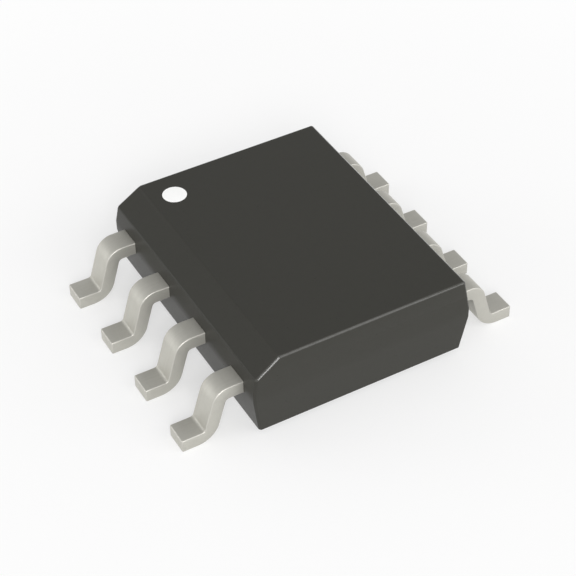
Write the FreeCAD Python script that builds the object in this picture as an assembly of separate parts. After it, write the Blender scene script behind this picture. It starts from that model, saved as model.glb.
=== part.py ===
import FreeCAD, Part
import math
import os

# A small-outline surface-mount chip: a moulded body with a row of gull-wing leads on each long
# side. Millimetres and degrees. X runs across the two rows of leads, Y along them, and Z is up.
# The origin is on the board, below the middle of the body, where the feet of the leads rest.

# Leads
LEADS_PER_ROW = 4
LEAD_PITCH = 1.27  # standard spacing of the leads along a row
LEAD_WIDTH = 0.43
LEAD_THICKNESS = 0.24  # thickness of the sheet that leads and paddle are stamped from
SHOULDER_FLAT = 0.225  # straight run from the body's side to the shoulder bend
SHOULDER_RADIUS = 0.08  # inside radius of the shoulder bend
SHANK_LEAN = 16.5  # degrees that the shank leans outwards from upright
HEEL_RADIUS = 0.18  # inside radius of the heel bend
FOOT_FLAT = 0.265  # straight run of the foot that is soldered to the board

# Moulded body
BODY_WIDTH = 4.0  # across the rows, at the parting line
END_MARGIN = 0.575  # from the middle of a row's last lead to the body's end
STANDOFF = 0.10  # gap between the board and the body's underside
LOWER_HEIGHT = 0.78  # underside to parting line
UPPER_HEIGHT = 0.675  # parting line to top
SIDE_DRAFT = 9.0  # degrees that the long sides lean in, above and below the parting line
END_DRAFT = 4.5  # degrees that the ends lean in
BODY_EDGE_RADIUS = 0.05
BEVEL_WIDTH = 0.378  # bevel along the top edge over pin one's row
BEVEL_DEPTH = 0.295
EJECTOR_MARK_DIAMETER = 1.0  # shallow round marks of the mould's ejector pins
EJECTOR_MARK_DEPTH = 0.03
EJECTOR_MARK_SPACING = 2.6

# White mark beside pin one, level with the top face
DOT_DIAMETER = 0.42
DOT_THICKNESS = 0.02
DOT_TO_BEVEL = 0.411  # from the dot's middle to the bevel's upper edge
DOT_TO_END = 0.534  # from the dot's middle to the end of the top face

# Inner posts, where the leads end inside the mould
POST_DEPTH = 0.65  # how far a middle lead reaches into the body
NECK_LENGTH = 0.25  # from the body's side to the wide head of a post
MIDDLE_HEAD_EXTRA = 0.195  # extra width on each side of a middle lead's head
END_HEAD_EXTRA = 0.13  # extra width on the inner side of an end lead's head
POST_GAP = 0.22  # gap from a post to the paddle
LOCK_HOLE_DIAMETER = 0.22  # hole in an end lead's head that the moulding fills

# Die paddle and the bars that held it in its frame
PADDLE_DOWNSET = 0.17  # how far the paddle is pressed below the leads
TIE_BAR_WIDTH = 0.25
TIE_BAR_GAP = 0.375  # from a tie bar to the end posts beside it
TIE_BAR_RAMP = 0.30  # length of the sloped stretch
TIE_BAR_SETBACK = 0.12  # moulding left over the end of a tie bar

# Die and the layer that fixes it
PADDLE_MARGIN_SIDE = 0.45  # paddle left bare beside the die
PADDLE_MARGIN_END = 0.50
ATTACH_THICKNESS = 0.025
DIE_THICKNESS = 0.28

# Bond wires
WIRE_DIAMETER = 0.025
WIRE_SIDES = 8  # sides of the section that stands for the round one, its corners on the circle
LOOP_HEIGHT = 0.15  # top of a loop above the die
LOOP_FALL = 0.02  # how far the first half of a loop drops
LOOP_RADIUS = 0.06  # bend over the ball
SPAN_RADIUS = 0.60  # slow bend in the middle of the span
PAD_INSET_SIDE = 0.12  # from the die's side to the middle of a bond pad
PAD_INSET_END = 0.16
BALL_DIAMETER = 0.075
BALL_HEIGHT = 0.02
STITCH_DIAMETER = 0.075
STITCH_INSET = 0.13  # from the edges of a post to the stitch on it

# Angles in degrees, and how near two heights count as one
QUARTER_TURN = 90
HALF_TURN = 180
SAME_HEIGHT = 1e-6

# Places that follow from the sizes above
PARTING_Z = STANDOFF + LOWER_HEIGHT
TOP_Z = PARTING_Z + UPPER_HEIGHT
FRAME_TOP_Z = PARTING_Z + LEAD_THICKNESS / 2
FRAME_BOTTOM_Z = PARTING_Z - LEAD_THICKNESS / 2
ROW_LENGTH = (LEADS_PER_ROW - 1) * LEAD_PITCH
BODY_SIDE_X = BODY_WIDTH / 2
BODY_END_Y = ROW_LENGTH / 2 + END_MARGIN
TOP_SIDE_X = BODY_SIDE_X - UPPER_HEIGHT * math.tan(math.radians(SIDE_DRAFT))
TOP_END_Y = BODY_END_Y - UPPER_HEIGHT * math.tan(math.radians(END_DRAFT))
BEVEL_TOP_X = -(TOP_SIDE_X - BEVEL_WIDTH)
POST_TIP_X = BODY_SIDE_X - POST_DEPTH
HEAD_START_X = BODY_SIDE_X - NECK_LENGTH
END_POST_TIP_X = TIE_BAR_WIDTH / 2 + TIE_BAR_GAP
PADDLE_SIDE_X = POST_TIP_X - POST_GAP
END_HEAD_INNER_Y = ROW_LENGTH / 2 - LEAD_WIDTH / 2 - END_HEAD_EXTRA
PADDLE_END_Y = END_HEAD_INNER_Y - POST_GAP
PADDLE_TOP_Z = FRAME_TOP_Z - PADDLE_DOWNSET
DIE_SIDE_X = PADDLE_SIDE_X - PADDLE_MARGIN_SIDE
DIE_END_Y = PADDLE_END_Y - PADDLE_MARGIN_END
DIE_BOTTOM_Z = PADDLE_TOP_Z + ATTACH_THICKNESS
DIE_TOP_Z = DIE_BOTTOM_Z + DIE_THICKNESS


def point(x, y, z):
    return FreeCAD.Vector(x, y, z)


def block(x_from, x_to, y_from, y_to, z_from, z_to):
    """A box between two places along each axis."""
    return Part.makeBox(x_to - x_from, y_to - y_from, z_to - z_from, point(x_from, y_from, z_from))


def prism(corners, direction):
    """A flat outline, given by its corners, pushed along a direction."""
    outline = Part.makePolygon(corners + corners[:1])
    return Part.Face(outline).extrude(direction)


def arc_edge(centre, radius, angle_from, angle_to):
    """An arc in the XZ plane. Angles are in degrees from straight up, towards +X."""
    angles = (angle_from, (angle_from + angle_to) / 2, angle_to)
    places = []
    for angle in angles:
        turn = math.radians(angle)
        places.append(centre + point(radius * math.sin(turn), 0, radius * math.cos(turn)))
    return Part.Arc(*places).toShape()


def joined_face(edges):
    """The face inside a ring of edges, with straight lines closing the gaps between them."""
    ring = []
    for number, edge in enumerate(edges):
        following = edges[(number + 1) % len(edges)]
        ring.append(edge)
        ring.append(Part.makeLine(edge.valueAt(edge.LastParameter), following.valueAt(following.FirstParameter)))
    return Part.Face(Part.Wire(ring))


def lead_strip(start_x):
    """The formed strip of one lead of the +X row, centred on y = 0, from start_x out to its tip."""
    half = LEAD_THICKNESS / 2
    bend = QUARTER_TURN - SHANK_LEAN
    sine = math.sin(math.radians(bend))
    cosine = math.cos(math.radians(bend))
    shoulder_mid = SHOULDER_RADIUS + half
    heel_mid = HEEL_RADIUS + half
    drop = PARTING_Z - half
    shank = (drop - (shoulder_mid + heel_mid) * (1 - cosine)) / sine

    shoulder_centre = point(BODY_SIDE_X + SHOULDER_FLAT, 0, PARTING_Z - shoulder_mid)
    outwards = point(sine, 0, cosine)
    heel_centre = shoulder_centre + outwards * (shoulder_mid + heel_mid) + point(cosine, 0, -sine) * shank
    tip_x = heel_centre.x + FOOT_FLAT

    upper_shoulder = arc_edge(shoulder_centre, SHOULDER_RADIUS + LEAD_THICKNESS, 0, bend)
    upper_heel = arc_edge(heel_centre, HEEL_RADIUS, bend - HALF_TURN, -HALF_TURN)
    tip = Part.makeLine(point(tip_x, 0, LEAD_THICKNESS), point(tip_x, 0, 0))
    lower_heel = arc_edge(heel_centre, HEEL_RADIUS + LEAD_THICKNESS, -HALF_TURN, bend - HALF_TURN)
    lower_shoulder = arc_edge(shoulder_centre, SHOULDER_RADIUS, bend, 0)
    root = Part.makeLine(point(start_x, 0, FRAME_BOTTOM_Z), point(start_x, 0, FRAME_TOP_Z))

    side = joined_face([upper_shoulder, upper_heel, tip, lower_heel, lower_shoulder, root])
    side.translate(point(0, -LEAD_WIDTH / 2, 0))
    return side.extrude(point(0, LEAD_WIDTH, 0))


def middle_post():
    """The wide head of a middle lead of the +X row, centred on y = 0."""
    half_width = LEAD_WIDTH / 2 + MIDDLE_HEAD_EXTRA
    return block(POST_TIP_X, HEAD_START_X, -half_width, half_width, FRAME_BOTTOM_Z, FRAME_TOP_Z)


def end_post(towards_middle):
    """The long head of an end lead of the +X row, with its lock hole. It widens to one side."""
    outer_y = -towards_middle * LEAD_WIDTH / 2
    inner_y = towards_middle * (LEAD_WIDTH / 2 + END_HEAD_EXTRA)
    head = block(END_POST_TIP_X, HEAD_START_X, min(outer_y, inner_y), max(outer_y, inner_y),
                 FRAME_BOTTOM_Z, FRAME_TOP_Z)
    hole_place = point((END_POST_TIP_X + HEAD_START_X) / 2, (outer_y + inner_y) / 2, FRAME_BOTTOM_Z)
    return head.cut(Part.makeCylinder(LOCK_HOLE_DIAMETER / 2, LEAD_THICKNESS, hole_place))


def is_end_lead(number):
    return number in (0, LEADS_PER_ROW - 1)


def row_y(number):
    """Where lead `number` of the +X row stands, counted from the row's -Y end."""
    return number * LEAD_PITCH - ROW_LENGTH / 2


def row_lead(number):
    """One whole lead of the +X row: its gull wing and its post inside the mould."""
    y = row_y(number)
    if is_end_lead(number):
        post = end_post(1 if y < 0 else -1)
    else:
        post = middle_post()
    lead = lead_strip(HEAD_START_X).fuse(post).removeSplitter()
    lead.translate(point(0, y, 0))
    return lead


def turned_half_round(shape):
    """The same shape in the other row, half a turn about the upright axis."""
    turned = shape.copy()
    turned.rotate(point(0, 0, 0), point(0, 0, 1), HALF_TURN)
    return turned


def both_rows(make, name):
    """Name the pieces of both rows as pins are counted: down the -X row, then up the +X row."""
    pieces = {}
    for number in range(LEADS_PER_ROW):
        piece = make(number)
        pieces[f"{name}_{number + 1}"] = turned_half_round(piece)
        pieces[f"{name}_{number + 1 + LEADS_PER_ROW}"] = piece
    return pieces


def tie_bar():
    """The bar from the paddle's +Y end up to the level of the leads, ending inside the mould."""
    start_y = PADDLE_END_Y
    ramp_y = start_y + TIE_BAR_RAMP
    end_y = BODY_END_Y - TIE_BAR_SETBACK
    top = PADDLE_TOP_Z
    corners = [
        point(-TIE_BAR_WIDTH / 2, start_y, top),
        point(-TIE_BAR_WIDTH / 2, ramp_y, FRAME_TOP_Z),
        point(-TIE_BAR_WIDTH / 2, end_y, FRAME_TOP_Z),
        point(-TIE_BAR_WIDTH / 2, end_y, FRAME_BOTTOM_Z),
        point(-TIE_BAR_WIDTH / 2, ramp_y, FRAME_BOTTOM_Z),
        point(-TIE_BAR_WIDTH / 2, start_y, top - LEAD_THICKNESS),
    ]
    return prism(corners, point(TIE_BAR_WIDTH, 0, 0))


def die_paddle():
    """The pressed-down plate under the die, with a tie bar at each end."""
    plate = block(-PADDLE_SIDE_X, PADDLE_SIDE_X, -PADDLE_END_Y, PADDLE_END_Y,
                  PADDLE_TOP_Z - LEAD_THICKNESS, PADDLE_TOP_Z)
    return plate.fuse([tie_bar(), turned_half_round(tie_bar())]).removeSplitter()


def die_attach():
    return block(-DIE_SIDE_X, DIE_SIDE_X, -DIE_END_Y, DIE_END_Y, PADDLE_TOP_Z, DIE_BOTTOM_Z)


def die():
    return block(-DIE_SIDE_X, DIE_SIDE_X, -DIE_END_Y, DIE_END_Y, DIE_BOTTOM_Z, DIE_TOP_Z)


def bond_pad(number):
    """Middle of the pad on the die that serves lead `number` of the +X row."""
    pad_pitch = 2 * (DIE_END_Y - PAD_INSET_END) / (LEADS_PER_ROW - 1)
    y = (number - (LEADS_PER_ROW - 1) / 2) * pad_pitch
    return point(DIE_SIDE_X - PAD_INSET_SIDE, y, DIE_TOP_Z)


def stitch_place(number):
    """Where the wire of lead `number` of the +X row is stitched to its post."""
    y = row_y(number)
    if is_end_lead(number):
        inner_y = END_HEAD_INNER_Y + STITCH_INSET
        return point(END_POST_TIP_X + STITCH_INSET, math.copysign(inner_y, y), FRAME_TOP_Z)
    return point(POST_TIP_X + STITCH_INSET, y, FRAME_TOP_Z)


def rounded_path(places, radii):
    """Straight runs through the places, joined by tangent arcs at the inner ones."""
    edges = []
    run_start = places[0]
    for before, corner, after, radius in zip(places, places[1:], places[2:], radii):
        back = (before - corner).normalize()
        ahead = (after - corner).normalize()
        half_angle = back.getAngle(ahead) / 2
        reach = radius / math.tan(half_angle)
        middle = (back + ahead).normalize()
        arc_middle = corner + middle * (radius / math.sin(half_angle) - radius)
        edges.append(Part.makeLine(run_start, corner + back * reach))
        edges.append(Part.Arc(corner + back * reach, arc_middle, corner + ahead * reach).toShape())
        run_start = corner + ahead * reach
    edges.append(Part.makeLine(run_start, places[-1]))
    return Part.Wire(edges)


def level_polygon(centre, diameter, heading):
    """A level ring of WIRE_SIDES sides, two of which stand square to the heading."""
    sideways = point(-heading.y, heading.x, 0)
    corners = []
    for number in range(WIRE_SIDES):
        turn = 2 * math.pi * (number + 0.5) / WIRE_SIDES
        spoke = heading * math.cos(turn) + sideways * math.sin(turn)
        corners.append(centre + spoke * (diameter / 2))
    return Part.makePolygon(corners + corners[:1])


def bond_wire(number):
    """The wire from the die to lead `number` of the +X row: ball, loop and stitch in one."""
    pad = bond_pad(number)
    stitch = stitch_place(number)
    heading = point(stitch.x - pad.x, stitch.y - pad.y, 0).normalize()
    radius = WIRE_DIAMETER / 2
    start = pad + point(0, 0, BALL_HEIGHT)
    above = pad + point(0, 0, LOOP_HEIGHT)
    finish = stitch + point(0, 0, radius)
    halfway = (pad + stitch) / 2
    knee = point(halfway.x, halfway.y, DIE_TOP_Z + LOOP_HEIGHT - LOOP_FALL)

    path = rounded_path([start, above, knee, finish], [LOOP_RADIUS, SPAN_RADIUS])
    loop = path.makePipeShell([level_polygon(start, WIRE_DIAMETER, heading)], True, False)
    ball = Part.Face(level_polygon(pad, BALL_DIAMETER, heading)).extrude(point(0, 0, BALL_HEIGHT))
    flat = Part.Face(level_polygon(stitch, STITCH_DIAMETER, heading)).extrude(point(0, 0, radius))
    return loop.fuse([ball, flat])


def drafted_half(height):
    """Half of the body, narrowing from the parting line at z = 0 up to the given height."""
    side_in = height * math.tan(math.radians(SIDE_DRAFT))
    end_in = height * math.tan(math.radians(END_DRAFT))
    half = Part.makeWedge(
        -BODY_SIDE_X, 0, -BODY_END_Y, -BODY_END_Y + end_in, -BODY_SIDE_X + side_in,
        BODY_SIDE_X, height, BODY_END_Y, BODY_END_Y - end_in, BODY_SIDE_X - side_in,
    )
    half.rotate(point(0, 0, 0), point(1, 0, 0), QUARTER_TURN)
    return half


def rounded_above_parting(half):
    """Round every edge of a half that doesn't lie on the parting plane."""
    edges = [edge for edge in half.Edges if edge.BoundBox.ZMax > SAME_HEIGHT]
    return half.makeFillet(BODY_EDGE_RADIUS, edges)


def upper_half():
    """The upper half of the body, with the bevel over pin one's row."""
    bevel_bottom_x = -(BODY_SIDE_X - (UPPER_HEIGHT - BEVEL_DEPTH) * math.tan(math.radians(SIDE_DRAFT)))
    slope = (BEVEL_TOP_X - bevel_bottom_x) / BEVEL_DEPTH
    low = UPPER_HEIGHT - 2 * BEVEL_DEPTH
    high = UPPER_HEIGHT + BEVEL_DEPTH
    corners = [
        point(BEVEL_TOP_X - 2 * BEVEL_DEPTH * slope, -BODY_END_Y, low),
        point(BEVEL_TOP_X + BEVEL_DEPTH * slope, -BODY_END_Y, high),
        point(-BODY_WIDTH, -BODY_END_Y, high),
        point(-BODY_WIDTH, -BODY_END_Y, low),
    ]
    wedge = prism(corners, point(0, 2 * BODY_END_Y, 0))
    half = rounded_above_parting(drafted_half(UPPER_HEIGHT).cut(wedge))
    half.translate(point(0, 0, PARTING_Z))
    return half


def lower_half():
    """The lower half of the body, with the ejector pins' marks in its underside."""
    half = rounded_above_parting(drafted_half(LOWER_HEIGHT))
    half.rotate(point(0, 0, 0), point(1, 0, 0), HALF_TURN)
    half.translate(point(0, 0, PARTING_Z))
    for y in (-EJECTOR_MARK_SPACING / 2, EJECTOR_MARK_SPACING / 2):
        mark = Part.makeCylinder(EJECTOR_MARK_DIAMETER / 2, EJECTOR_MARK_DEPTH, point(0, y, STANDOFF))
        half = half.cut(mark)
    return half


def mould_body(held):
    """The moulding, shaped around every piece that it holds."""
    return upper_half().fuse(lower_half()).cut(held)


def pin_one_dot():
    """The round white mark beside pin one, which fills a shallow pocket in the top face."""
    centre = point(BEVEL_TOP_X + DOT_TO_BEVEL, TOP_END_Y - DOT_TO_END, TOP_Z - DOT_THICKNESS)
    return Part.makeCylinder(DOT_DIAMETER / 2, DOT_THICKNESS, centre)


def build():
    """Every piece of the chip by name."""
    pieces = both_rows(row_lead, "lead")
    pieces["die_paddle"] = die_paddle()
    pieces["die_attach"] = die_attach()
    pieces["die"] = die()
    pieces.update(both_rows(bond_wire, "bond_wire"))
    pieces["pin_one_dot"] = pin_one_dot()
    pieces["mould_body"] = mould_body(list(pieces.values()))
    return pieces


os.makedirs("parts", exist_ok=True)
for node, shape in build().items():
    shape.exportStep(f"parts/{node}.step")
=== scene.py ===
import math

import bmesh
import bpy
import numpy as np
from mathutils import Matrix, Quaternion, Vector


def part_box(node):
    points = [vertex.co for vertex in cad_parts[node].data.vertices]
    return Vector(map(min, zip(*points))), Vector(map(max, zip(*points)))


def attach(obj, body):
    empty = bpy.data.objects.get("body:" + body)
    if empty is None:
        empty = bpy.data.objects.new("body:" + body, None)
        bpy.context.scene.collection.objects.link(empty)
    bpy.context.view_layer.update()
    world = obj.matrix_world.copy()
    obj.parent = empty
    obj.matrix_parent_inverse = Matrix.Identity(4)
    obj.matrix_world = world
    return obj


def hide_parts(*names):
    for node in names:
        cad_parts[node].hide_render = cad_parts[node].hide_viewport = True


# A small-outline surface-mount chip: a drafted moulded body with a bevel and a white dot over pin
# one's row, gull-wing leads formed from plated strip, and the paddle, die and wires sealed inside.
# Pieces are shaped in millimetres and brought to metres at the end.

MM = 0.001

# Moulded body, millimetres and degrees
SIDE_DRAFT = 9.0
END_DRAFT = 4.5
BODY_EDGE_CUT = 0.034
BODY_CORNER_CUT = 0.040
FLAT_BORDER = 0.03
PARTING_BAND = 0.09  # half the height of the band that takes the ridge off at the parting line
BEVEL_END_CUT_X = 0.058
BEVEL_END_CUT_Y = 0.034
BEVEL_END_BLEND = 0.03
CORNER_FADE = 0.8
BEVEL_WIDTH = 0.378
BEVEL_DEPTH = 0.295
EJECTOR_MARK_DIAMETER = 1.0
EJECTOR_MARK_DEPTH = 0.03
EJECTOR_MARK_SPACING = 2.6

# Leads
LEADS_PER_ROW = 4
LEAD_PITCH = 1.27
LEAD_WIDTH = 0.43
LEAD_THICKNESS = 0.24
SHOULDER_FLAT = 0.225
SHOULDER_RADIUS = 0.08
SHANK_LEAN = 16.5
HEEL_RADIUS = 0.18
HEEL_CREASE_RADIUS = 0.06  # the upper side of the heel is pressed tighter than the bend
NECK_LENGTH = 0.25
END_HEAD_EXTRA = 0.13
MIDDLE_HEAD_EXTRA = 0.195
LOCK_HOLE_DIAMETER = 0.22
LEAD_EDGE_CUT = 0.018
LEAD_EDGE_STEPS = 4
LEAD_EDGE_PROFILE = 0.4
STAMPED_EDGE_ANGLE = 60  # edges of the blank that turn by more than this are eased

# Bond wires
WIRE_DIAMETER = 0.025
LOOP_HEIGHT = 0.15
LOOP_FALL = 0.02
LOOP_RADIUS = 0.06
SPAN_RADIUS = 0.60
PAD_INSET_SIDE = 0.12
PAD_INSET_END = 0.16
STITCH_INSET = 0.13
BALL_DIAMETER = 0.075
BALL_HEIGHT = 0.02
STITCH_DIAMETER = 0.075

# How flat an eased edge is across: 1 is a straight chamfer and 2 a plain round
EDGE_ROUNDNESS = 1.25

# Turn in degrees above which an edge stays sharp in the shading
MOULDING_SHARP = 16
METAL_SHARP = 40
WIRE_SHARP = 50
FLAT_FACE_WEIGHT = 100

# Mark of the points that lie on eased edges, where a lighter colour paints a highlight and the finish
# turns glossier
SHEEN_AND_GLOSS_MARK = "sheen_and_gloss"

# How a face's normal tells flats of the body from its eased edges: how nearly it points a flat's way,
# how little it may lean along the rows on the bevel's turns, and how little it rises on what is upright
FLAT_COSINE = 0.99
LEVEL_SINE = 0.02
UPRIGHT_SINE = 0.25

# How finely curves are cut, and the decimals at which two heights count as one
HEIGHT_DECIMALS = 5
ROUND_STEPS = 8
BEND_STEPS = 24
CIRCLE_STEPS = 96
WIRE_STEPS = 12
WIRE_SIDES = 16

# A ball bond from its foot up, as shares of the ball's radius and height
BALL_PROFILE = ((0.82, 0.0), (0.96, 0.14), (1.0, 0.4), (0.95, 0.7), (0.76, 0.92), (0.48, 1.0))

# A stitch from where the wire lands to its end: how far along, how wide and how thick, in its radii
STITCH_PROFILE = ((-0.45, 0.55, 0.30), (0.0, 0.85, 0.16), (0.55, 1.0, 0.10), (1.0, 0.70, 0.06))

# Camera, millimetres and degrees
CAMERA_PLACE = (-10.596, -19.045, 19.945)
CAMERA_AIM = (-0.184, -0.342, 0.750)
CAMERA_ROLL = 0.796
CAMERA_VIEW = 18.803
CAMERA_NEAREST = 1.0
CAMERA_FARTHEST = 10000.0

# Square lamps that face the chip: name, direction from it, side in millimetres, and radiance
LAMP_DISTANCE = 300
LAMPS = (
    ("key", (-0.36, -0.735, 0.57), 128, 8.9),
    ("glint", (0.36, -0.70, 0.62), 142, 1.9),
    ("fill", (0.72, -0.55, 0.42), 128, 2.1),
    ("rim", (-0.776, 0.621, 0.20), 128, 2.1),
)

# Surround: how far up, from 0 at the horizon to 1 overhead, and how bright there
SKY_SHADES = ((0.15, 1.0), (0.42, 0.62), (0.75, 0.50))

# Ground, millimetres
GROUND_REACH = 2000.0
GROUND_ALBEDO = 0.94
GROUND_ROUGHNESS = 0.9

# How much of the ground's look is plain white: near the chip, where its shadow shows, and far off
WHITE_SHARE = 0.5
FAR_WHITE_SHARE = 1.0
SHADOW_REACH = 4.0
WHITE_FROM = 16.0

# Materials are in metres: a bump depth, and how often the strip's lines change along and across it
MICRON = 0.000001
STREAK_STRETCH = (0.04, 1.0, 0.04)
CLUMP_SHARE = 0.22  # clumps of grain, as a share of the grain's own number per metre
NOISE_LOW = 0.3
NOISE_HIGH = 0.7

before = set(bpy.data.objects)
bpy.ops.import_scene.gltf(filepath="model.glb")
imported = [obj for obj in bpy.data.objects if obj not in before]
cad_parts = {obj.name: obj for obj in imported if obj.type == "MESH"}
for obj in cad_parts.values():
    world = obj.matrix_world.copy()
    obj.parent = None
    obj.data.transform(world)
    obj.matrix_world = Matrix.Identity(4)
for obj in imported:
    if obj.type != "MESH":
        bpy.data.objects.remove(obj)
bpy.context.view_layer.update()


def box_mm(node):
    """Lowest and highest corner of a node, in millimetres."""
    low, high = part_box(node)
    return low / MM, high / MM


body_low, body_high = box_mm("mould_body")
lead_low, lead_high = box_mm("lead_6")
end_lead_low = box_mm("lead_8")[0]
dot_low, dot_high = box_mm("pin_one_dot")
die_high = box_mm("die")[1]
PARTING_Z = lead_high.z - LEAD_THICKNESS / 2
BEVEL_FOOT_Z = body_high.z - BEVEL_DEPTH


def new_piece(shape, name, material, nodes=()):
    """Turn a millimetre bmesh into a finished piece that rides on the chip."""
    shape.transform(Matrix.Scale(MM, 4))
    bmesh.ops.recalc_face_normals(shape, faces=shape.faces)
    mesh = bpy.data.meshes.new(name)
    shape.to_mesh(mesh)
    shape.free()
    mesh.materials.append(material)
    piece = bpy.data.objects.new(name, mesh)
    bpy.context.scene.collection.objects.link(piece)
    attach(piece, "root")
    if nodes:
        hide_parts(*nodes)
    return piece


def smooth_shading(piece, sharp_angle):
    """Smooth faces, crisp edges above an angle, and flats that stay flat beside small rounds."""
    piece.data.shade_smooth()
    piece.data.set_sharp_from_angle(angle=math.radians(sharp_angle))
    weighted = piece.modifiers.new("flat_faces_stay_flat", "WEIGHTED_NORMAL")
    weighted.keep_sharp = True
    weighted.weight = FLAT_FACE_WEIGHT


def on_circle(angle, radius=1.0):
    """A place on a circle, its angle counted clockwise from straight up."""
    return Vector((math.sin(angle), math.cos(angle))) * radius


def eased_corner(corner, back, ahead, back_cut, ahead_cut):
    """Places that take a sharp corner off: nearly flat across, with both ends of the flat rounded."""
    power = 2 / EDGE_ROUNDNESS
    places = []
    for step in range(ROUND_STEPS + 1):
        share = step / ROUND_STEPS
        angle = math.pi / 2 * share * share * (3 - 2 * share)
        from_back = back * back_cut * (1 - math.sin(angle) ** power)
        from_ahead = ahead * ahead_cut * (1 - math.cos(angle) ** power)
        places.append(corner + from_back + from_ahead)
    return places


def eased_outline(corners, cut):
    """A line through the corners with each inner one eased, and blunt ones less than square ones."""
    line = [corners[0]]
    for before, corner, after in zip(corners, corners[1:], corners[2:]):
        back = (before - corner).normalized()
        ahead = (after - corner).normalized()
        reach = cut / math.tan(back.angle(ahead) / 2)
        line += eased_corner(corner, back, ahead, reach, reach)
    line.append(corners[-1])
    return line


def side_outline(reach, draft, bevelled=False):
    """One side of the body seen end on, as places (distance from the middle, height)."""
    lean = math.tan(math.radians(draft))
    foot = reach - (PARTING_Z - body_low.z) * lean
    head = reach - (body_high.z - PARTING_Z) * lean
    band_low = Vector((reach - PARTING_BAND * lean, PARTING_Z - PARTING_BAND))
    band_high = Vector((reach - PARTING_BAND * lean, PARTING_Z + PARTING_BAND))
    under = [Vector((0, body_low.z)), Vector((foot, body_low.z)), band_low]
    lower = eased_outline(under, BODY_EDGE_CUT)
    if bevelled:
        bevel_foot = head + BEVEL_DEPTH * lean
        corners = [Vector((bevel_foot, BEVEL_FOOT_Z)), Vector((head - BEVEL_WIDTH, body_high.z))]
    else:
        corners = [Vector((head, body_high.z))]
    upper = eased_outline([band_high] + corners + [Vector((0, body_high.z))], BODY_EDGE_CUT)
    return lower[1:] + upper[:-1]


def distance_at(outline, height):
    return float(np.interp(height, [place.y for place in outline], [place.x for place in outline]))


def section_ring(shape, left, right, end, height, left_cut, right_cut):
    """A level ring of the body. The cuts are how far its corners are eased, along X and along Y."""
    side_ways = Vector((1, 0))
    end_ways = Vector((0, 1))
    places = []
    places += eased_corner(Vector((right, end)), -end_ways, -side_ways, right_cut.y, right_cut.x)
    places += eased_corner(Vector((left, end)), side_ways, -end_ways, left_cut.x, left_cut.y)
    places += eased_corner(Vector((left, -end)), end_ways, side_ways, left_cut.y, left_cut.x)
    places += eased_corner(Vector((right, -end)), -side_ways, end_ways, right_cut.x, right_cut.y)
    return [shape.verts.new((place.x, place.y, height)) for place in places]


def circle_ring(shape, centre, radius, height):
    ring = []
    for step in range(CIRCLE_STEPS):
        angle = 2 * math.pi * step / CIRCLE_STEPS
        ring.append(shape.verts.new((centre.x + radius * math.cos(angle),
                                     centre.y + radius * math.sin(angle), height)))
    return ring


def skin_between(shape, ring, following):
    """Faces between two rings of as many points."""
    for number in range(len(ring)):
        after = (number + 1) % len(ring)
        shape.faces.new((ring[number], ring[after], following[after], following[number]))


def ring_edges(shape, ring):
    edges = []
    for number, vert in enumerate(ring):
        after = ring[(number + 1) % len(ring)]
        edges.append(shape.edges.get((vert, after)) or shape.edges.new((vert, after)))
    return edges


def drawn_in(shape, ring, distance):
    """A copy of a level ring, a little nearer the middle on every side."""
    copy = []
    for vert in ring:
        across, along, height = vert.co
        copy.append(shape.verts.new((across - math.copysign(distance, across),
                                     along - math.copysign(distance, along), height)))
    return copy


def pocketed_face(shape, rim, pockets, height, depth):
    """A level face inside a rim, with round pockets sunk into it and a border that keeps it flat."""
    border = drawn_in(shape, rim, FLAT_BORDER)
    skin_between(shape, rim, border)
    edges = ring_edges(shape, border)
    for centre, radius in pockets:
        mouth = circle_ring(shape, centre, radius, height)
        floor = circle_ring(shape, centre, radius, height + depth)
        edges += ring_edges(shape, mouth)
        skin_between(shape, mouth, floor)
        shape.faces.new(floor)
    bmesh.ops.triangle_fill(shape, use_beauty=True, use_dissolve=False, edges=edges)


def mark_sheen_and_gloss(verts, layer, is_flat):
    """Give 1 to the points that touch no flat face, and 0 to the rest."""
    for vert in verts:
        vert[layer] = 0.0 if any(is_flat(face) for face in vert.link_faces) else 1.0


def is_broad_face(face):
    """Whether a face of the body's skin is a flat, an upright corner or a blunt turn at the bevel."""
    across, along, rise = face.normal
    if abs(rise) < UPRIGHT_SINE:
        return True
    if abs(along) < LEVEL_SINE and across < -LEVEL_SINE and rise > 0:
        return True
    side = math.radians(SIDE_DRAFT)
    end = math.radians(END_DRAFT)
    towards_side = abs(across) * math.cos(side) + abs(rise) * math.sin(side)
    towards_end = abs(along) * math.cos(end) + abs(rise) * math.sin(end)
    return max(towards_side, towards_end) > FLAT_COSINE


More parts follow.
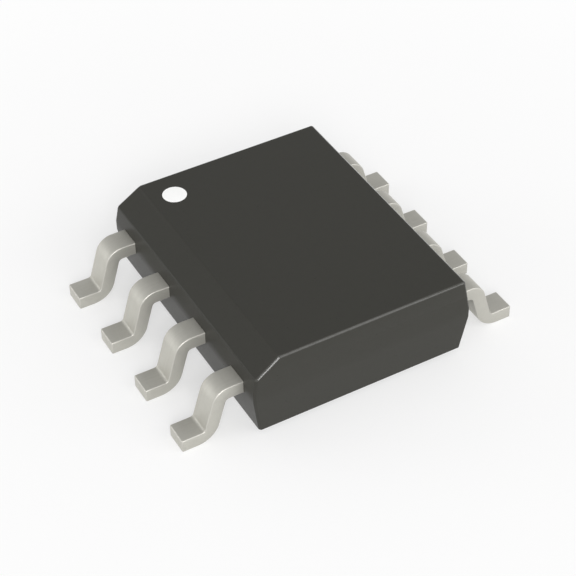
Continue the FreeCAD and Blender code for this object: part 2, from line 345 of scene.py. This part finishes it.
def make_moulding(material):
    """The moulded body: drafted both ways from the parting line, with soft edges."""
    plain_side = side_outline(body_high.x, SIDE_DRAFT)
    bevelled_side = side_outline(-body_low.x, SIDE_DRAFT, bevelled=True)
    end_side = side_outline(body_high.y, END_DRAFT)
    outlines = plain_side + bevelled_side + end_side
    heights = sorted({round(place.y, HEIGHT_DECIMALS) for place in outlines})

    shape = bmesh.new()
    sheen_and_gloss = shape.verts.layers.float.new(SHEEN_AND_GLOSS_MARK)
    rings = []
    for height in heights:
        end = distance_at(end_side, height)
        from_parting = max(abs(height - PARTING_Z), PARTING_BAND)
        straight_end = body_high.y - from_parting * math.tan(math.radians(END_DRAFT))
        kept = 1 - CORNER_FADE * (straight_end - end) / BODY_EDGE_CUT
        plain_cut = Vector((BODY_CORNER_CUT, BODY_CORNER_CUT))
        bevel_share = min(1.0, max(0.0, (height - BEVEL_FOOT_Z) / BEVEL_END_BLEND))
        bevel_cut = plain_cut.lerp(Vector((BEVEL_END_CUT_X, BEVEL_END_CUT_Y)), bevel_share)
        left = -distance_at(bevelled_side, height)
        right = distance_at(plain_side, height)
        rings.append(section_ring(shape, left, right, end, height, bevel_cut * kept, plain_cut * kept))
    for ring, following in zip(rings, rings[1:]):
        skin_between(shape, ring, following)

    shape.normal_update()
    inner_verts = [vert for ring in rings[1:-1] for vert in ring]
    mark_sheen_and_gloss(inner_verts, sheen_and_gloss, is_broad_face)

    dot_centre = (dot_low + dot_high) / 2
    dot_radius = (dot_high.x - dot_low.x) / 2
    pocketed_face(shape, rings[-1], [(dot_centre, dot_radius)], body_high.z, dot_low.z - dot_high.z)
    marks = []
    for y in (-EJECTOR_MARK_SPACING / 2, EJECTOR_MARK_SPACING / 2):
        marks.append((Vector((0, y, 0)), EJECTOR_MARK_DIAMETER / 2))
    pocketed_face(shape, rings[0], marks, body_low.z, EJECTOR_MARK_DEPTH)

    moulding = new_piece(shape, "moulding", material, ["mould_body"])
    smooth_shading(moulding, MOULDING_SHARP)
    return moulding


def make_ink_dot(material):
    """The white mark, a thin fill in its pocket with a softly rounded rim."""
    centre = (dot_low + dot_high) / 2
    radius = (dot_high.x - dot_low.x) / 2
    rim = (dot_high.z - dot_low.z) / 4
    shape = bmesh.new()
    floor = circle_ring(shape, centre, radius, dot_low.z)
    shape.faces.new(floor)
    previous = floor
    for step in range(ROUND_STEPS + 1):
        angle = math.radians(90 * step / ROUND_STEPS)
        inset = rim * (1 - math.cos(angle))
        ring = circle_ring(shape, centre, radius - inset, dot_high.z - rim + rim * math.sin(angle))
        skin_between(shape, previous, ring)
        previous = ring
    shape.faces.new(previous)
    dot = new_piece(shape, "ink_dot", material, ["pin_one_dot"])
    smooth_shading(dot, METAL_SHARP)
    return dot


class FormingDie:
    """Bends flat strip to the gull wing of the +X row. Distances run from the shoulder bend."""

    def __init__(self):
        self.bend = math.radians(90 - SHANK_LEAN)
        self.along = Vector((math.cos(self.bend), -math.sin(self.bend)))
        self.out = on_circle(self.bend)
        self.shoulder_radius = SHOULDER_RADIUS + LEAD_THICKNESS / 2
        self.heel_radius = HEEL_RADIUS + LEAD_THICKNESS / 2
        self.bends = self.shoulder_radius + self.heel_radius
        drop = PARTING_Z - LEAD_THICKNESS / 2
        self.shank = (drop - self.bends * (1 - math.cos(self.bend))) / math.sin(self.bend)
        self.start = Vector((body_high.x + SHOULDER_FLAT, PARTING_Z))
        self.shoulder_centre = self.start - Vector((0, self.shoulder_radius))
        self.heel_centre = self.shoulder_centre + self.out * self.bends + self.along * self.shank
        self.shoulder_end = self.shoulder_radius * self.bend
        self.heel_start = self.shoulder_end + self.shank
        self.heel_end = self.heel_start + self.heel_radius * self.bend
        self.tip = self.heel_end + lead_high.x - self.heel_centre.x
        self.crease_run = (HEEL_RADIUS - HEEL_CREASE_RADIUS) * math.tan(self.bend / 2)
        self.crease_arc = HEEL_CREASE_RADIUS * self.bend

    def stations(self):
        """Distances at which the strip is cut across, close together in the two bends."""
        places = [-SHOULDER_FLAT / 2]
        for step in range(BEND_STEPS + 1):
            places.append(self.shoulder_end * step / BEND_STEPS)
        places.append(self.shoulder_end + self.shank / 2)
        for step in range(BEND_STEPS + 1):
            places.append(self.heel_start + (self.heel_end - self.heel_start) * step / BEND_STEPS)
        places.append((self.heel_end + self.tip) / 2)
        places.append(self.tip)
        return places

    def under_heel(self, share):
        """A place on the underside of the heel, a share of the way round it."""
        return self.heel_centre - on_circle(self.bend * (1 - share), HEEL_RADIUS + LEAD_THICKNESS)

    def over_heel(self, share):
        """The same on its upper side: down the shank, round a tighter crease and along the foot."""
        first = self.heel_centre - self.out * HEEL_RADIUS
        place = share * (2 * self.crease_run + self.crease_arc)
        if place <= self.crease_run:
            return first + self.along * place
        place -= self.crease_run
        centre = first + self.along * self.crease_run + self.out * HEEL_CREASE_RADIUS
        turn = max(0.0, self.bend - place / HEEL_CREASE_RADIUS)
        flat = max(0.0, place - self.crease_arc)
        return centre - on_circle(turn, HEEL_CREASE_RADIUS) + Vector((flat, 0))

    def formed(self, distance, rise):
        """Where a point of the strip goes, `rise` above its middle layer, as (x, z)."""
        if distance <= 0:
            return self.start + Vector((distance, rise))
        if distance <= self.shoulder_end:
            turn = distance / self.shoulder_radius
            return self.shoulder_centre + on_circle(turn, self.shoulder_radius + rise)
        if distance <= self.heel_start:
            start = self.shoulder_centre + self.out * (self.shoulder_radius + rise)
            return start + self.along * (distance - self.shoulder_end)
        if distance <= self.heel_end:
            share = (distance - self.heel_start) / (self.heel_end - self.heel_start)
            return self.under_heel(share).lerp(self.over_heel(share), rise / LEAD_THICKNESS + 0.5)
        flat = distance - self.heel_end
        return Vector((self.heel_centre.x + flat, LEAD_THICKNESS / 2 + rise))


forming = FormingDie()


def place_in_row(number, pitch):
    """How far along Y one of a row's leads or pads lies."""
    return number * pitch - (LEADS_PER_ROW - 1) * pitch / 2


def head_outline(number):
    """Corners of a lead's wide head inside the mould, and the middle of its lock hole or None."""
    half = LEAD_WIDTH / 2
    neck = -SHOULDER_FLAT - NECK_LENGTH
    if number in (0, LEADS_PER_ROW - 1):
        inwards = 1 if number == 0 else -1
        tip = end_lead_low.x - forming.start.x
        wide = inwards * (half + END_HEAD_EXTRA)
        corners = [(neck, wide), (tip, wide), (tip, -inwards * half)]
        if inwards < 0:
            corners = [(tip, half), (tip, wide), (neck, wide)]
        hole = Vector(((tip + neck) / 2, inwards * END_HEAD_EXTRA / 2, 0))
        return corners, hole
    wide = half + MIDDLE_HEAD_EXTRA
    tip = lead_low.x - forming.start.x
    return [(neck, wide), (tip, wide), (tip, -wide), (neck, -wide)], None


def stamped_blank(number):
    """The flat blank of lead `number` of the +X row, thickened and with its edges rounded."""
    shape = bmesh.new()
    sheen_and_gloss = shape.verts.layers.float.new(SHEEN_AND_GLOSS_MARK)
    half = LEAD_WIDTH / 2
    neck = -SHOULDER_FLAT - NECK_LENGTH
    columns = (-half, 0, half)
    rows = []
    for distance in [neck] + forming.stations():
        rows.append([shape.verts.new((distance, y, LEAD_THICKNESS / 2)) for y in columns])
    for row, following in zip(rows, rows[1:]):
        for side in range(len(columns) - 1):
            shape.faces.new((row[side], following[side], following[side + 1], row[side + 1]))

    corners, hole = head_outline(number)
    rim = [rows[0][0], rows[0][1], rows[0][2]]
    for x, y in corners:
        rim.append(shape.verts.new((x, y, LEAD_THICKNESS / 2)))
    edges = ring_edges(shape, rim)
    if hole:
        edges += ring_edges(shape, circle_ring(shape, hole, LOCK_HOLE_DIAMETER / 2, LEAD_THICKNESS / 2))
    bmesh.ops.triangle_fill(shape, use_beauty=True, use_dissolve=False, edges=edges)

    grown = bmesh.ops.extrude_face_region(shape, geom=shape.faces[:])
    lowered = [part for part in grown["geom"] if isinstance(part, bmesh.types.BMVert)]
    bmesh.ops.translate(shape, verts=lowered, vec=(0, 0, -LEAD_THICKNESS))
    bmesh.ops.recalc_face_normals(shape, faces=shape.faces)
    least = math.radians(STAMPED_EDGE_ANGLE)
    crisp = [edge for edge in shape.edges if edge.calc_face_angle(0) > least]
    eased = bmesh.ops.bevel(shape, geom=crisp, offset=LEAD_EDGE_CUT, segments=LEAD_EDGE_STEPS,
                            profile=LEAD_EDGE_PROFILE, affect="EDGES")
    rounded = set(eased["faces"])
    mark_sheen_and_gloss(shape.verts, sheen_and_gloss, lambda face: face not in rounded)
    return shape


def make_lead(number, pin, other_row, material):
    """One gull-wing lead, stamped flat and then formed."""
    y = place_in_row(number, LEAD_PITCH)
    shape = stamped_blank(number)
    for vert in shape.verts:
        place = forming.formed(vert.co.x, vert.co.z)
        vert.co = Vector((place.x, vert.co.y + y, place.y))
    if other_row:
        shape.transform(Matrix.Rotation(math.pi, 4, "Z"))
    lead = new_piece(shape, f"formed_lead_{pin}", material, [f"lead_{pin}"])
    smooth_shading(lead, METAL_SHARP)
    return lead


def make_leads(material):
    """Both rows, named as pins are counted: down the -X row, then up the +X row."""
    for number in range(LEADS_PER_ROW):
        make_lead(number, number + 1, True, material)
        make_lead(number, number + 1 + LEADS_PER_ROW, False, material)


def rounded_route(corners, radii):
    """Places along straight runs joined by arcs, as (distance along, height)."""
    route = [corners[0]]
    for before, corner, after, radius in zip(corners, corners[1:], corners[2:], radii):
        back = (before - corner).normalized()
        ahead = (after - corner).normalized()
        half_angle = back.angle(ahead) / 2
        reach = radius / math.tan(half_angle)
        middle = corner + (back + ahead).normalized() * (radius / math.sin(half_angle))
        first = corner + back * reach - middle
        last = corner + ahead * reach - middle
        start = math.atan2(first.y, first.x)
        turn = math.remainder(math.atan2(last.y, last.x) - start, 2 * math.pi)
        for step in range(WIRE_STEPS + 1):
            angle = start + turn * step / WIRE_STEPS
            route.append(middle + Vector((math.cos(angle), math.sin(angle))) * radius)
    route.append(corners[-1])
    return route


def wire_ring(shape, pad, heading, place, climb, half_width, half_height):
    """A ring across a wire at (distance along, height) from its pad, where it climbs at an angle."""
    up = Vector((0, 0, 1))
    sideways = up.cross(heading)
    across = up * math.cos(climb) - heading * math.sin(climb)
    centre = pad + heading * place.x + up * place.y
    ring = []
    for step in range(WIRE_SIDES):
        angle = 2 * math.pi * step / WIRE_SIDES
        spoke = sideways * (half_width * math.cos(angle)) + across * (half_height * math.sin(angle))
        ring.append(shape.verts.new(centre + spoke))
    return ring


def make_bond_wire(number, pin, other_row, material):
    """Gold wire from the die to a post: a pressed ball, a loop and a flattened stitch."""
    pad_pitch = 2 * (die_high.y - PAD_INSET_END) / (LEADS_PER_ROW - 1)
    pad = Vector((die_high.x - PAD_INSET_SIDE, place_in_row(number, pad_pitch), die_high.z))
    y = place_in_row(number, LEAD_PITCH)
    stitch = Vector((lead_low.x + STITCH_INSET, y, lead_high.z))
    if number in (0, LEADS_PER_ROW - 1):
        stitch.x = end_lead_low.x + STITCH_INSET
        stitch.y = math.copysign(end_lead_low.y + STITCH_INSET, y)
    level = Vector((stitch.x - pad.x, stitch.y - pad.y, 0))
    heading = level.normalized()
    span = level.length
    post = stitch.z - pad.z

    radius = WIRE_DIAMETER / 2
    knee = Vector((span / 2, LOOP_HEIGHT - LOOP_FALL))
    finish = Vector((span, post + radius))
    route = rounded_route([Vector((0, BALL_HEIGHT)), Vector((0, LOOP_HEIGHT)), knee, finish],
                          (LOOP_RADIUS, SPAN_RADIUS))
    stitch_radius = STITCH_DIAMETER / 2
    route[-1] = finish + (route[-2] - finish).normalized() * stitch_radius

    shape = bmesh.new()
    rings = []
    for width, height in BALL_PROFILE:
        reach = width * BALL_DIAMETER / 2
        place = Vector((0, height * BALL_HEIGHT))
        rings.append(wire_ring(shape, pad, heading, place, math.pi / 2, reach, reach))
    for before, place, after in zip(route[:1] + route, route, route[1:] + route[-1:]):
        run = after - before
        rings.append(wire_ring(shape, pad, heading, place, math.atan2(run.y, run.x), radius, radius))
    for along, width, thickness in STITCH_PROFILE:
        half_height = thickness * stitch_radius
        place = Vector((span + along * stitch_radius, post + half_height))
        rings.append(wire_ring(shape, pad, heading, place, 0, width * stitch_radius, half_height))
    for ring, following in zip(rings, rings[1:]):
        skin_between(shape, ring, following)
    shape.faces.new(rings[0])
    shape.faces.new(rings[-1])
    if other_row:
        shape.transform(Matrix.Rotation(math.pi, 4, "Z"))
    wire = new_piece(shape, f"gold_wire_{pin}", material, [f"bond_wire_{pin}"])
    smooth_shading(wire, WIRE_SHARP)
    return wire


def make_bond_wires(material):
    """One wire for each lead, named by its pin as the leads are."""
    for number in range(LEADS_PER_ROW):
        make_bond_wire(number, number + 1, True, material)
        make_bond_wire(number, number + 1 + LEADS_PER_ROW, False, material)


def effect_group(name, inputs, outputs):
    """An empty node group with named number inputs and named outputs."""
    group = bpy.data.node_groups.new(name, "ShaderNodeTree")
    for label, value in inputs.items():
        socket = group.interface.new_socket(label, in_out="INPUT", socket_type="NodeSocketFloat")
        socket.default_value = value
    for label, kind in outputs.items():
        group.interface.new_socket(label, in_out="OUTPUT", socket_type=kind)
    return group, group.nodes.new("NodeGroupInput"), group.nodes.new("NodeGroupOutput")


def fine_grain_group():
    """Speckle and matching height, finer or coarser by Grain, which is given per metre."""
    group, given, result = effect_group("fine_grain", {"Grain": 20000.0, "Clumping": 0.5},
                                        {"Speckle": "NodeSocketFloat", "Height": "NodeSocketFloat"})
    nodes, links = group.nodes, group.links
    place = nodes.new("ShaderNodeTexCoord")
    fine = nodes.new("ShaderNodeTexNoise")
    fine.inputs["Detail"].default_value = 3.0
    coarse_size = nodes.new("ShaderNodeMath")
    coarse_size.operation = "MULTIPLY"
    coarse_size.inputs[1].default_value = CLUMP_SHARE
    coarse = nodes.new("ShaderNodeTexNoise")
    coarse.inputs["Detail"].default_value = 2.0
    mix = nodes.new("ShaderNodeMix")
    links.new(place.outputs["Object"], fine.inputs["Vector"])
    links.new(place.outputs["Object"], coarse.inputs["Vector"])
    links.new(given.outputs["Grain"], fine.inputs["Scale"])
    links.new(given.outputs["Grain"], coarse_size.inputs[0])
    links.new(coarse_size.outputs[0], coarse.inputs["Scale"])
    links.new(given.outputs["Clumping"], mix.inputs["Factor"])
    links.new(fine.outputs["Fac"], mix.inputs["A"])
    links.new(coarse.outputs["Fac"], mix.inputs["B"])
    links.new(mix.outputs["Result"], result.inputs["Speckle"])
    links.new(fine.outputs["Fac"], result.inputs["Height"])
    return group


def rolling_streak_group():
    """Faint lines that run the way the strip was rolled, across which only Y changes quickly."""
    group, given, result = effect_group("rolling_streaks", {"Fineness": 30000.0},
                                        {"Streak": "NodeSocketFloat"})
    nodes, links = group.nodes, group.links
    place = nodes.new("ShaderNodeTexCoord")
    stretch = nodes.new("ShaderNodeVectorMath")
    stretch.operation = "MULTIPLY"
    stretch.inputs[1].default_value = STREAK_STRETCH
    noise = nodes.new("ShaderNodeTexNoise")
    noise.inputs["Detail"].default_value = 2.0
    links.new(place.outputs["Object"], stretch.inputs[0])
    links.new(stretch.outputs[0], noise.inputs["Vector"])
    links.new(given.outputs["Fineness"], noise.inputs["Scale"])
    links.new(noise.outputs["Fac"], result.inputs["Streak"])
    return group


def sheen_and_gloss_group():
    """Where the eased edges get a painted highlight and more gloss: near 1 along them, uneven by
    Patchiness, and 0 on the flats.
    """
    group, given, result = effect_group("sheen_and_gloss_edges", {"Grain": 12000.0, "Patchiness": 0.3},
                                        {"Sheen and gloss": "NodeSocketFloat"})
    nodes, links = group.nodes, group.links
    edge = nodes.new("ShaderNodeAttribute")
    edge.attribute_name = SHEEN_AND_GLOSS_MARK
    place = nodes.new("ShaderNodeTexCoord")
    noise = nodes.new("ShaderNodeTexNoise")
    loss = nodes.new("ShaderNodeMath")
    loss.operation = "MULTIPLY"
    kept = nodes.new("ShaderNodeMath")
    kept.operation = "SUBTRACT"
    kept.inputs[0].default_value = 1.0
    sheen_and_gloss_amount = nodes.new("ShaderNodeMath")
    sheen_and_gloss_amount.operation = "MULTIPLY"
    links.new(place.outputs["Object"], noise.inputs["Vector"])
    links.new(given.outputs["Grain"], noise.inputs["Scale"])
    links.new(noise.outputs["Fac"], loss.inputs[0])
    links.new(given.outputs["Patchiness"], loss.inputs[1])
    links.new(loss.outputs[0], kept.inputs[1])
    links.new(edge.outputs["Fac"], sheen_and_gloss_amount.inputs[0])
    links.new(kept.outputs[0], sheen_and_gloss_amount.inputs[1])
    links.new(sheen_and_gloss_amount.outputs[0], result.inputs["Sheen and gloss"])
    return group


def place_group(material, group, values):
    """Put a shared effect into a material with its own values."""
    node = material.node_tree.nodes.new("ShaderNodeGroup")
    node.node_tree = group
    for label, value in values.items():
        node.inputs[label].default_value = value
    return node


def new_material(name, metallic=0.0):
    material = bpy.data.materials.new(name)
    material.use_nodes = True
    shader = material.node_tree.nodes["Principled BSDF"]
    shader.inputs["Metallic"].default_value = metallic
    return material, shader


def vary_colour(material, shader, amount, dark, light):
    """Base colour between two shades by a changing amount."""
    mix = material.node_tree.nodes.new("ShaderNodeMix")
    mix.data_type = "RGBA"
    mix.inputs["A"].default_value = (*dark, 1)
    mix.inputs["B"].default_value = (*light, 1)
    material.node_tree.links.new(amount, mix.inputs["Factor"])
    material.node_tree.links.new(mix.outputs["Result"], shader.inputs["Base Color"])


def vary_roughness(material, shader, amount, low, high):
    """Roughness between two values by a changing amount."""
    spread = material.node_tree.nodes.new("ShaderNodeMapRange")
    spread.inputs["From Min"].default_value = NOISE_LOW
    spread.inputs["From Max"].default_value = NOISE_HIGH
    spread.inputs["To Min"].default_value = low
    spread.inputs["To Max"].default_value = high
    material.node_tree.links.new(amount, spread.inputs["Value"])
    material.node_tree.links.new(spread.outputs["Result"], shader.inputs["Roughness"])


def add_sheen_and_gloss(material, shader, sheen_and_gloss_amount, colour, roughness):
    """Blend the finish along the eased edges towards a lighter colour, a painted highlight, and a
    smoother, glossier one.
    """
    nodes, links = material.node_tree.nodes, material.node_tree.links
    # the lighter colour mixed in here is a painted highlight along the edges
    painted_highlight = nodes.new("ShaderNodeMix")
    painted_highlight.data_type = "RGBA"
    painted_highlight.inputs["B"].default_value = (*colour, 1)
    smoother = nodes.new("ShaderNodeMix")
    smoother.inputs["B"].default_value = roughness
    links.new(sheen_and_gloss_amount, painted_highlight.inputs["Factor"])
    links.new(sheen_and_gloss_amount, smoother.inputs["Factor"])
    links.new(shader.inputs["Base Color"].links[0].from_socket, painted_highlight.inputs["A"])
    links.new(shader.inputs["Roughness"].links[0].from_socket, smoother.inputs["A"])
    links.new(painted_highlight.outputs["Result"], shader.inputs["Base Color"])
    links.new(smoother.outputs["Result"], shader.inputs["Roughness"])


def add_bump(material, shader, height, depth):
    """Surface relief, `depth` metres from its low to its high places."""
    bump = material.node_tree.nodes.new("ShaderNodeBump")
    bump.inputs["Distance"].default_value = depth
    material.node_tree.links.new(height, bump.inputs["Height"])
    material.node_tree.links.new(bump.outputs["Normal"], shader.inputs["Normal"])


def moulding_compound(grain, sheen_and_gloss):
    """Black filled epoxy, satin from the mould, with a trace of its filler showing."""
    material, shader = new_material("moulding_compound")
    speckle = place_group(material, grain, {"Grain": 45000.0, "Clumping": 0.3})
    sheen_and_gloss_amount = place_group(material, sheen_and_gloss, {"Grain": 9000.0, "Patchiness": 0.4})
    vary_colour(material, shader, speckle.outputs["Speckle"],
                dark=(0.0408, 0.0403, 0.0354), light=(0.0486, 0.0480, 0.0421))
    vary_roughness(material, shader, speckle.outputs["Speckle"], low=0.27, high=0.33)
    # Eased edges: a lighter colour paints a highlight, and lower roughness with a coat gives real gloss
    add_sheen_and_gloss(material, shader, sheen_and_gloss_amount.outputs["Sheen and gloss"], colour=(0.056, 0.055, 0.049), roughness=0.17)
    material.node_tree.links.new(sheen_and_gloss_amount.outputs["Sheen and gloss"], shader.inputs["Coat Weight"])
    shader.inputs["Coat Roughness"].default_value = 0.17
    shader.inputs["Specular IOR Level"].default_value = 0.085
    add_bump(material, shader, speckle.outputs["Height"], depth=0.5 * MICRON)
    return material


def matte_tin(grain, streaks, sheen_and_gloss):
    """Tin plating over rolled strip: a pale warm grey metal with a fine satin grain."""
    material, shader = new_material("matte_tin", metallic=1.0)
    speckle = place_group(material, grain, {"Grain": 40000.0, "Clumping": 0.5})
    lines = place_group(material, streaks, {"Fineness": 24000.0})
    sheen_and_gloss_amount = place_group(material, sheen_and_gloss, {"Grain": 12000.0, "Patchiness": 0.4})
    vary_colour(material, shader, speckle.outputs["Speckle"],
                dark=(0.530, 0.521, 0.478), light=(0.598, 0.588, 0.540))
    vary_roughness(material, shader, lines.outputs["Streak"], low=0.58, high=0.66)
    # Eased edges: a lighter colour paints a highlight, and lower roughness gives real gloss
    add_sheen_and_gloss(material, shader, sheen_and_gloss_amount.outputs["Sheen and gloss"], colour=(0.60, 0.59, 0.545), roughness=0.48)
    add_bump(material, shader, speckle.outputs["Height"], depth=0.5 * MICRON)
    return material


def white_ink(grain):
    """Opaque white ink with a slightly uneven, matt surface."""
    material, shader = new_material("white_ink")
    speckle = place_group(material, grain, {"Grain": 30000.0, "Clumping": 0.6})
    vary_colour(material, shader, speckle.outputs["Speckle"],
                dark=(0.95, 0.95, 0.94), light=(0.98, 0.98, 0.97))
    vary_roughness(material, shader, speckle.outputs["Speckle"], low=0.5, high=0.62)
    add_bump(material, shader, speckle.outputs["Height"], depth=0.6 * MICRON)
    return material


def copper_alloy(grain, streaks):
    """Bare rolled copper alloy of the paddle."""
    material, shader = new_material("copper_alloy", metallic=1.0)
    speckle = place_group(material, grain, {"Grain": 30000.0, "Clumping": 0.5})
    lines = place_group(material, streaks, {"Fineness": 30000.0})
    vary_colour(material, shader, speckle.outputs["Speckle"],
                dark=(0.66, 0.36, 0.22), light=(0.78, 0.45, 0.29))
    vary_roughness(material, shader, lines.outputs["Streak"], low=0.28, high=0.4)
    add_bump(material, shader, lines.outputs["Streak"], depth=0.5 * MICRON)
    return material


def silver_resin(grain):
    """Silver-filled resin that fixes the die."""
    material, shader = new_material("silver_resin", metallic=0.4)
    speckle = place_group(material, grain, {"Grain": 60000.0, "Clumping": 0.3})
    vary_colour(material, shader, speckle.outputs["Speckle"],
                dark=(0.38, 0.38, 0.37), light=(0.56, 0.56, 0.55))
    vary_roughness(material, shader, speckle.outputs["Speckle"], low=0.5, high=0.7)
    add_bump(material, shader, speckle.outputs["Height"], depth=MICRON)
    return material


def silicon():
    """Polished silicon with a faint pattern of cells in its top layers."""
    material, shader = new_material("polished_silicon", metallic=0.6)
    nodes = material.node_tree.nodes
    cells = nodes.new("ShaderNodeTexVoronoi")
    cells.distance = "CHEBYCHEV"
    cells.inputs["Scale"].default_value = 12000.0
    cells.inputs["Randomness"].default_value = 0.8
    place = nodes.new("ShaderNodeTexCoord")
    material.node_tree.links.new(place.outputs["Object"], cells.inputs["Vector"])
    vary_colour(material, shader, cells.outputs["Distance"],
                dark=(0.06, 0.07, 0.10), light=(0.14, 0.15, 0.20))
    vary_roughness(material, shader, cells.outputs["Distance"], low=0.12, high=0.25)
    return material


def bond_gold(grain):
    """Soft gold wire."""
    material, shader = new_material("bond_gold", metallic=1.0)
    speckle = place_group(material, grain, {"Grain": 90000.0, "Clumping": 0.4})
    vary_colour(material, shader, speckle.outputs["Speckle"],
                dark=(0.90, 0.62, 0.24), light=(1.0, 0.74, 0.34))
    vary_roughness(material, shader, speckle.outputs["Speckle"], low=0.16, high=0.26)
    return material


def dress_inner_nodes(materials):
    """Give the sealed pieces that keep their solids a finish of their own."""
    for name, material in materials.items():
        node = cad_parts[name]
        node.data.materials.clear()
        node.data.materials.append(material)


def whiten_for_view(material, shader):
    """Blend white into the ground as it is seen, directly or mirrored, but keep some of its shadow."""
    nodes, links = material.node_tree.nodes, material.node_tree.links
    ray = nodes.new("ShaderNodeLightPath")
    seen = nodes.new("ShaderNodeMath")
    seen.operation = "MAXIMUM"
    seen_at_all = nodes.new("ShaderNodeMath")
    seen_at_all.operation = "MAXIMUM"
    place = nodes.new("ShaderNodeTexCoord")
    distance = nodes.new("ShaderNodeVectorMath")
    distance.operation = "LENGTH"
    whiteness = nodes.new("ShaderNodeMapRange")
    whiteness.interpolation_type = "SMOOTHSTEP"
    whiteness.inputs["From Min"].default_value = SHADOW_REACH * MM
    whiteness.inputs["From Max"].default_value = WHITE_FROM * MM
    whiteness.inputs["To Min"].default_value = WHITE_SHARE
    whiteness.inputs["To Max"].default_value = FAR_WHITE_SHARE
    share = nodes.new("ShaderNodeMath")
    share.operation = "MULTIPLY"
    white = nodes.new("ShaderNodeEmission")
    blend = nodes.new("ShaderNodeMixShader")
    output = nodes["Material Output"]
    links.new(ray.outputs["Is Camera Ray"], seen.inputs[0])
    links.new(ray.outputs["Is Glossy Ray"], seen.inputs[1])
    links.new(seen.outputs[0], seen_at_all.inputs[0])
    links.new(ray.outputs["Is Transmission Ray"], seen_at_all.inputs[1])
    links.new(place.outputs["Object"], distance.inputs[0])
    links.new(distance.outputs["Value"], whiteness.inputs["Value"])
    links.new(seen_at_all.outputs[0], share.inputs[0])
    links.new(whiteness.outputs["Result"], share.inputs[1])
    links.new(share.outputs[0], blend.inputs["Fac"])
    links.new(shader.outputs["BSDF"], blend.inputs[1])
    links.new(white.outputs["Emission"], blend.inputs[2])
    links.new(blend.outputs["Shader"], output.inputs["Surface"])


def make_floor():
    """The plain white ground that the chip stands on."""
    shape = bmesh.new()
    bmesh.ops.create_grid(shape, x_segments=1, y_segments=1, size=GROUND_REACH * MM)
    mesh = bpy.data.meshes.new("ground")
    shape.to_mesh(mesh)
    shape.free()
    floor = bpy.data.objects.new("ground", mesh)
    bpy.context.scene.collection.objects.link(floor)
    material, shader = new_material("white_ground")
    shader.inputs["Base Color"].default_value = (GROUND_ALBEDO, GROUND_ALBEDO, GROUND_ALBEDO, 1)
    shader.inputs["Roughness"].default_value = GROUND_ROUGHNESS
    shader.inputs["Specular IOR Level"].default_value = 0.0
    whiten_for_view(material, shader)
    mesh.materials.append(material)
    return floor


def make_lamp(name, direction, size, radiance):
    """A square soft lamp that faces the chip, its size in millimetres."""
    side = size * MM
    data = bpy.data.lights.new(name, "AREA")
    data.size = side
    data.energy = radiance * math.pi * side * side
    lamp = bpy.data.objects.new(name, data)
    bpy.context.scene.collection.objects.link(lamp)
    heading = Vector(direction).normalized()
    lamp.location = heading * LAMP_DISTANCE * MM
    lamp.rotation_mode = "QUATERNION"
    lamp.rotation_quaternion = heading.to_track_quat("Z", "Y")
    return lamp


def make_sky():
    """A pale surround, white at the horizon and dimmer overhead."""
    world = bpy.data.worlds.new("studio")
    bpy.context.scene.world = world
    world.use_nodes = True
    nodes, links = world.node_tree.nodes, world.node_tree.links
    background = nodes["Background"]
    place = nodes.new("ShaderNodeTexCoord")
    height = nodes.new("ShaderNodeSeparateXYZ")
    shade = nodes.new("ShaderNodeValToRGB")
    shade.color_ramp.elements.new(SKY_SHADES[1][0])
    for stop, (rise, bright) in zip(shade.color_ramp.elements, SKY_SHADES):
        stop.position = rise
        stop.color = (bright, bright, bright, 1)
    links.new(place.outputs["Generated"], height.inputs["Vector"])
    links.new(height.outputs["Z"], shade.inputs["Fac"])
    links.new(shade.outputs["Color"], background.inputs["Color"])
    return world


def make_camera():
    data = bpy.data.cameras.new("camera")
    data.angle = math.radians(CAMERA_VIEW)
    data.clip_start = CAMERA_NEAREST * MM
    data.clip_end = CAMERA_FARTHEST * MM
    camera = bpy.data.objects.new("camera", data)
    bpy.context.scene.collection.objects.link(camera)
    place = Vector(CAMERA_PLACE)
    heading = Vector(CAMERA_AIM) - place
    roll = Quaternion((0, 0, 1), math.radians(-CAMERA_ROLL))
    camera.location = place * MM
    camera.rotation_mode = "QUATERNION"
    camera.rotation_quaternion = heading.to_track_quat("-Z", "Y") @ roll
    bpy.context.scene.camera = camera
    return camera


make_camera()
grain_effect = fine_grain_group()
streak_effect = rolling_streak_group()
sheen_and_gloss_effect = sheen_and_gloss_group()
make_moulding(moulding_compound(grain_effect, sheen_and_gloss_effect))
make_ink_dot(white_ink(grain_effect))
make_leads(matte_tin(grain_effect, streak_effect, sheen_and_gloss_effect))
make_bond_wires(bond_gold(grain_effect))
dress_inner_nodes({
    "die_paddle": copper_alloy(grain_effect, streak_effect),
    "die_attach": silver_resin(grain_effect),
    "die": silicon(),
})
make_floor()
make_sky()
for lamp_values in LAMPS:
    make_lamp(*lamp_values)
bpy.context.scene.view_settings.view_transform = "Standard"
